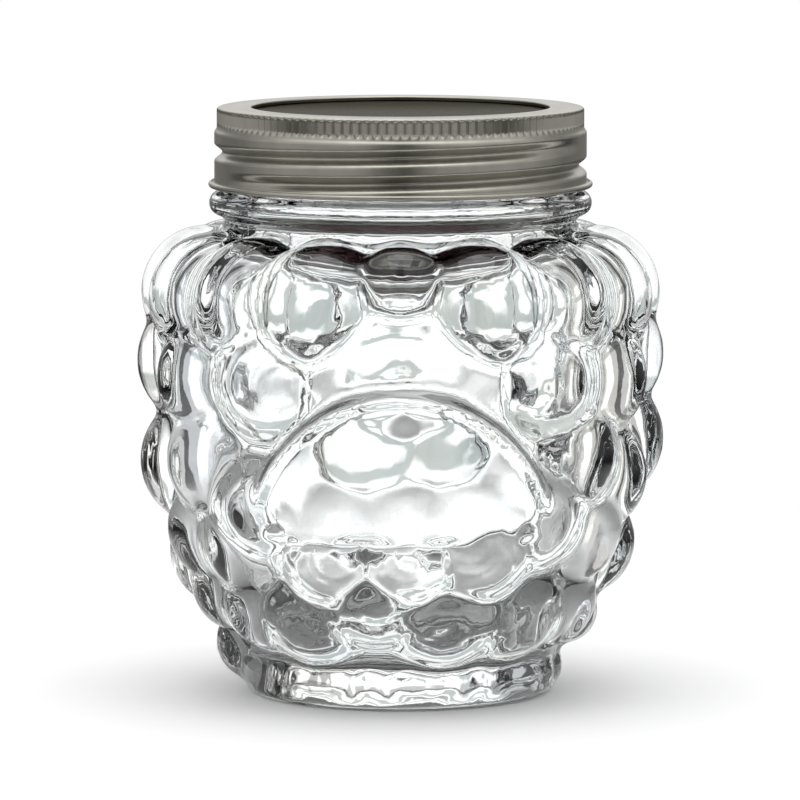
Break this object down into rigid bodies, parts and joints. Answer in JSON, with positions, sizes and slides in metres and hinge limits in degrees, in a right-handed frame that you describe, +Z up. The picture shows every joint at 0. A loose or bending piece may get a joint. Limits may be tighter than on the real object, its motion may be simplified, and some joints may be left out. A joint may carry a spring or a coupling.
{
  "type": "jam pot",
  "caption": "Round glass preserve pot pressed with berry-like bumps and a bare plaque, closed by a loose metal disc with a red seal and an open screw band.",
  "frame": {"origin": "centre of the pot's underside, on the surface that it stands on", "axes": "+Z up along the axis of the pot and its thread, -Y towards the plaque at the front, +X to the right of someone facing the plaque"},
  "size_m": [0.1058, 0.1051, 0.1177],
  "materials": {
    "clear_glass": "clear pressed glass, fire polished",
    "disc_tinplate": "satin tinplate",
    "red_sealant": "dark red sealing compound",
    "band_tinplate": "satin rolled tinplate"
  },
  "bodies": {
    "pot": {"glass_pot": "clear_glass"},
    "lid": {"lid_disc": "disc_tinplate", "sealing_ring": "red_sealant"},
    "band": {"screw_band": "band_tinplate"}
  },
  "joints": [
    {"name": "lid_lift", "type": "slide", "parent": "pot", "child": "lid", "axis": [0, 0, 1], "range_m": [0, 0.0204]},
    {"name": "band_turn", "type": "hinge", "parent": "lid", "child": "band", "pos_m": [0, 0, 0.1095], "axis": [0, 0, 1], "range_deg": [0, 1440]}
  ],
  "couplings": [
    {"joint": "lid_lift", "follows": "band_turn", "m_per_rad": 0.00080851}
  ]
}
